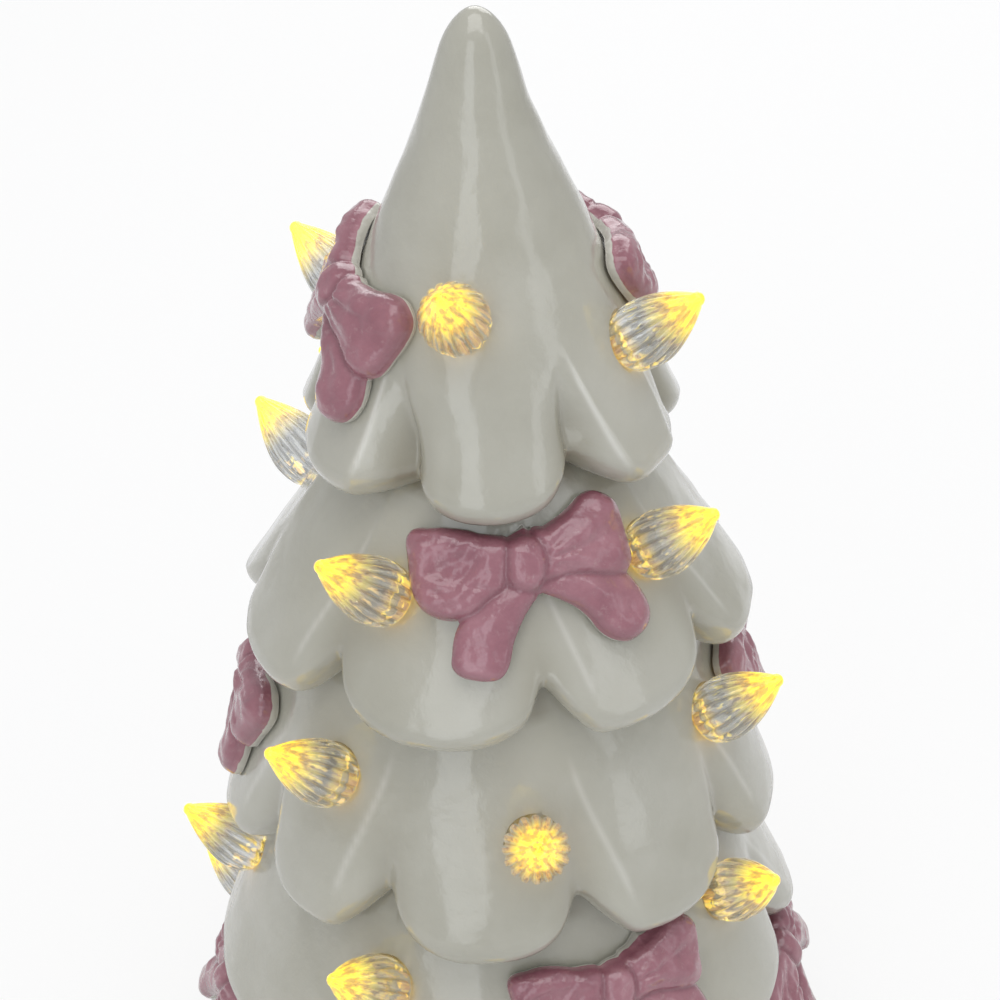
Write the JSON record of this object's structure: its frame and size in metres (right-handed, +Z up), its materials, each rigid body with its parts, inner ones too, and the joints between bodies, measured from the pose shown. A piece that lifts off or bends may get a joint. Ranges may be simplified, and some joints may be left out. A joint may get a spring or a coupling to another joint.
{
  "type": "ceramic christmas tree",
  "caption": "Lit ceramic tabletop tree with tiered lobed branches, glazed bows, clear plug-in bulbs and a battery base with a hinged door and slide switch",
  "frame": {"origin": "on the table under the middle of the foot", "axes": "+Z up along the tree, the pictured front faces -Y, +X to the right of a viewer in front"},
  "size_m": [0.1573, 0.1682, 0.279],
  "materials": {
    "white_glaze": "glossy pearl-white glaze, darker in the grooves",
    "pink_glaze": "glossy dusty-pink glaze over ivory clay",
    "clear_bulb": "clear fluted acrylic, amber glow at the base and tip",
    "led_resin": "clear amber LED resin",
    "white_plastic": "matte moulded white plastic",
    "pad_rubber": "soft clear-white rubber",
    "cell_metal": null,
    "contact_metal": "nickel-plated spring steel",
    "screw_steel": "zinc-plated steel",
    "black_plastic": "matte black plastic",
    "board": "green solder mask on fibre board",
    "wire_cover": "thin insulated wire"
  },
  "bodies": {
    "tree": {"tree_body": "white_glaze", "bow_1": "pink_glaze", "bow_2": "pink_glaze", "bow_3": "pink_glaze", "bow_4": "pink_glaze", "bow_5": "pink_glaze", "bow_6": "pink_glaze", "bow_7": "pink_glaze", "bow_8": "pink_glaze", "bow_9": "pink_glaze", "bow_10": "pink_glaze", "bulb_1": "clear_bulb", "bulb_2": "clear_bulb", "bulb_3": "clear_bulb", "bulb_4": "clear_bulb", "bulb_5": "clear_bulb", "bulb_6": "clear_bulb", "bulb_7": "clear_bulb", "bulb_8": "clear_bulb", "bulb_9": "clear_bulb", "bulb_10": "clear_bulb", "bulb_11": "clear_bulb", "bulb_12": "clear_bulb", "bulb_13": "clear_bulb", "bulb_14": "clear_bulb", "bulb_15": "clear_bulb", "bulb_16": "clear_bulb", "bulb_17": "clear_bulb", "bulb_18": "clear_bulb", "bulb_19": "clear_bulb", "bulb_20": "clear_bulb", "bulb_21": "clear_bulb", "bulb_22": "clear_bulb", "bulb_23": "clear_bulb", "bulb_24": "clear_bulb", "bulb_25": "clear_bulb", "bulb_26": "clear_bulb", "bulb_27": "clear_bulb", "bulb_28": "clear_bulb", "bulb_29": "clear_bulb", "bulb_30": "clear_bulb", "bulb_31": "clear_bulb", "leds_tier_1": "led_resin", "leds_tier_2": "led_resin", "leds_tier_3": "led_resin", "leds_tier_4": "led_resin", "leds_tier_5": "led_resin", "foot_pads": "pad_rubber", "base_plate": "white_plastic", "battery_tray": "white_plastic", "battery_cells": "cell_metal", "contact_springs": "contact_metal", "contact_plates": "contact_metal", "plate_screws": "screw_steel", "switch_housing": "black_plastic", "circuit_board": "board", "board_parts": "black_plastic", "string_wire": "wire_cover"},
    "door": {"battery_door": "white_plastic"},
    "slider": {"switch_slider": "black_plastic"}
  },
  "joints": [
    {"name": "battery_door", "type": "hinge", "parent": "tree", "child": "door", "pos_m": [0, -0.02695, 0.004], "axis": [-1, 0, 0], "range_deg": [0, 80]},
    {"name": "switch_slide", "type": "slide", "parent": "tree", "child": "slider", "axis": [0, 1, 0], "range_m": [0, 0.003]}
  ]
}
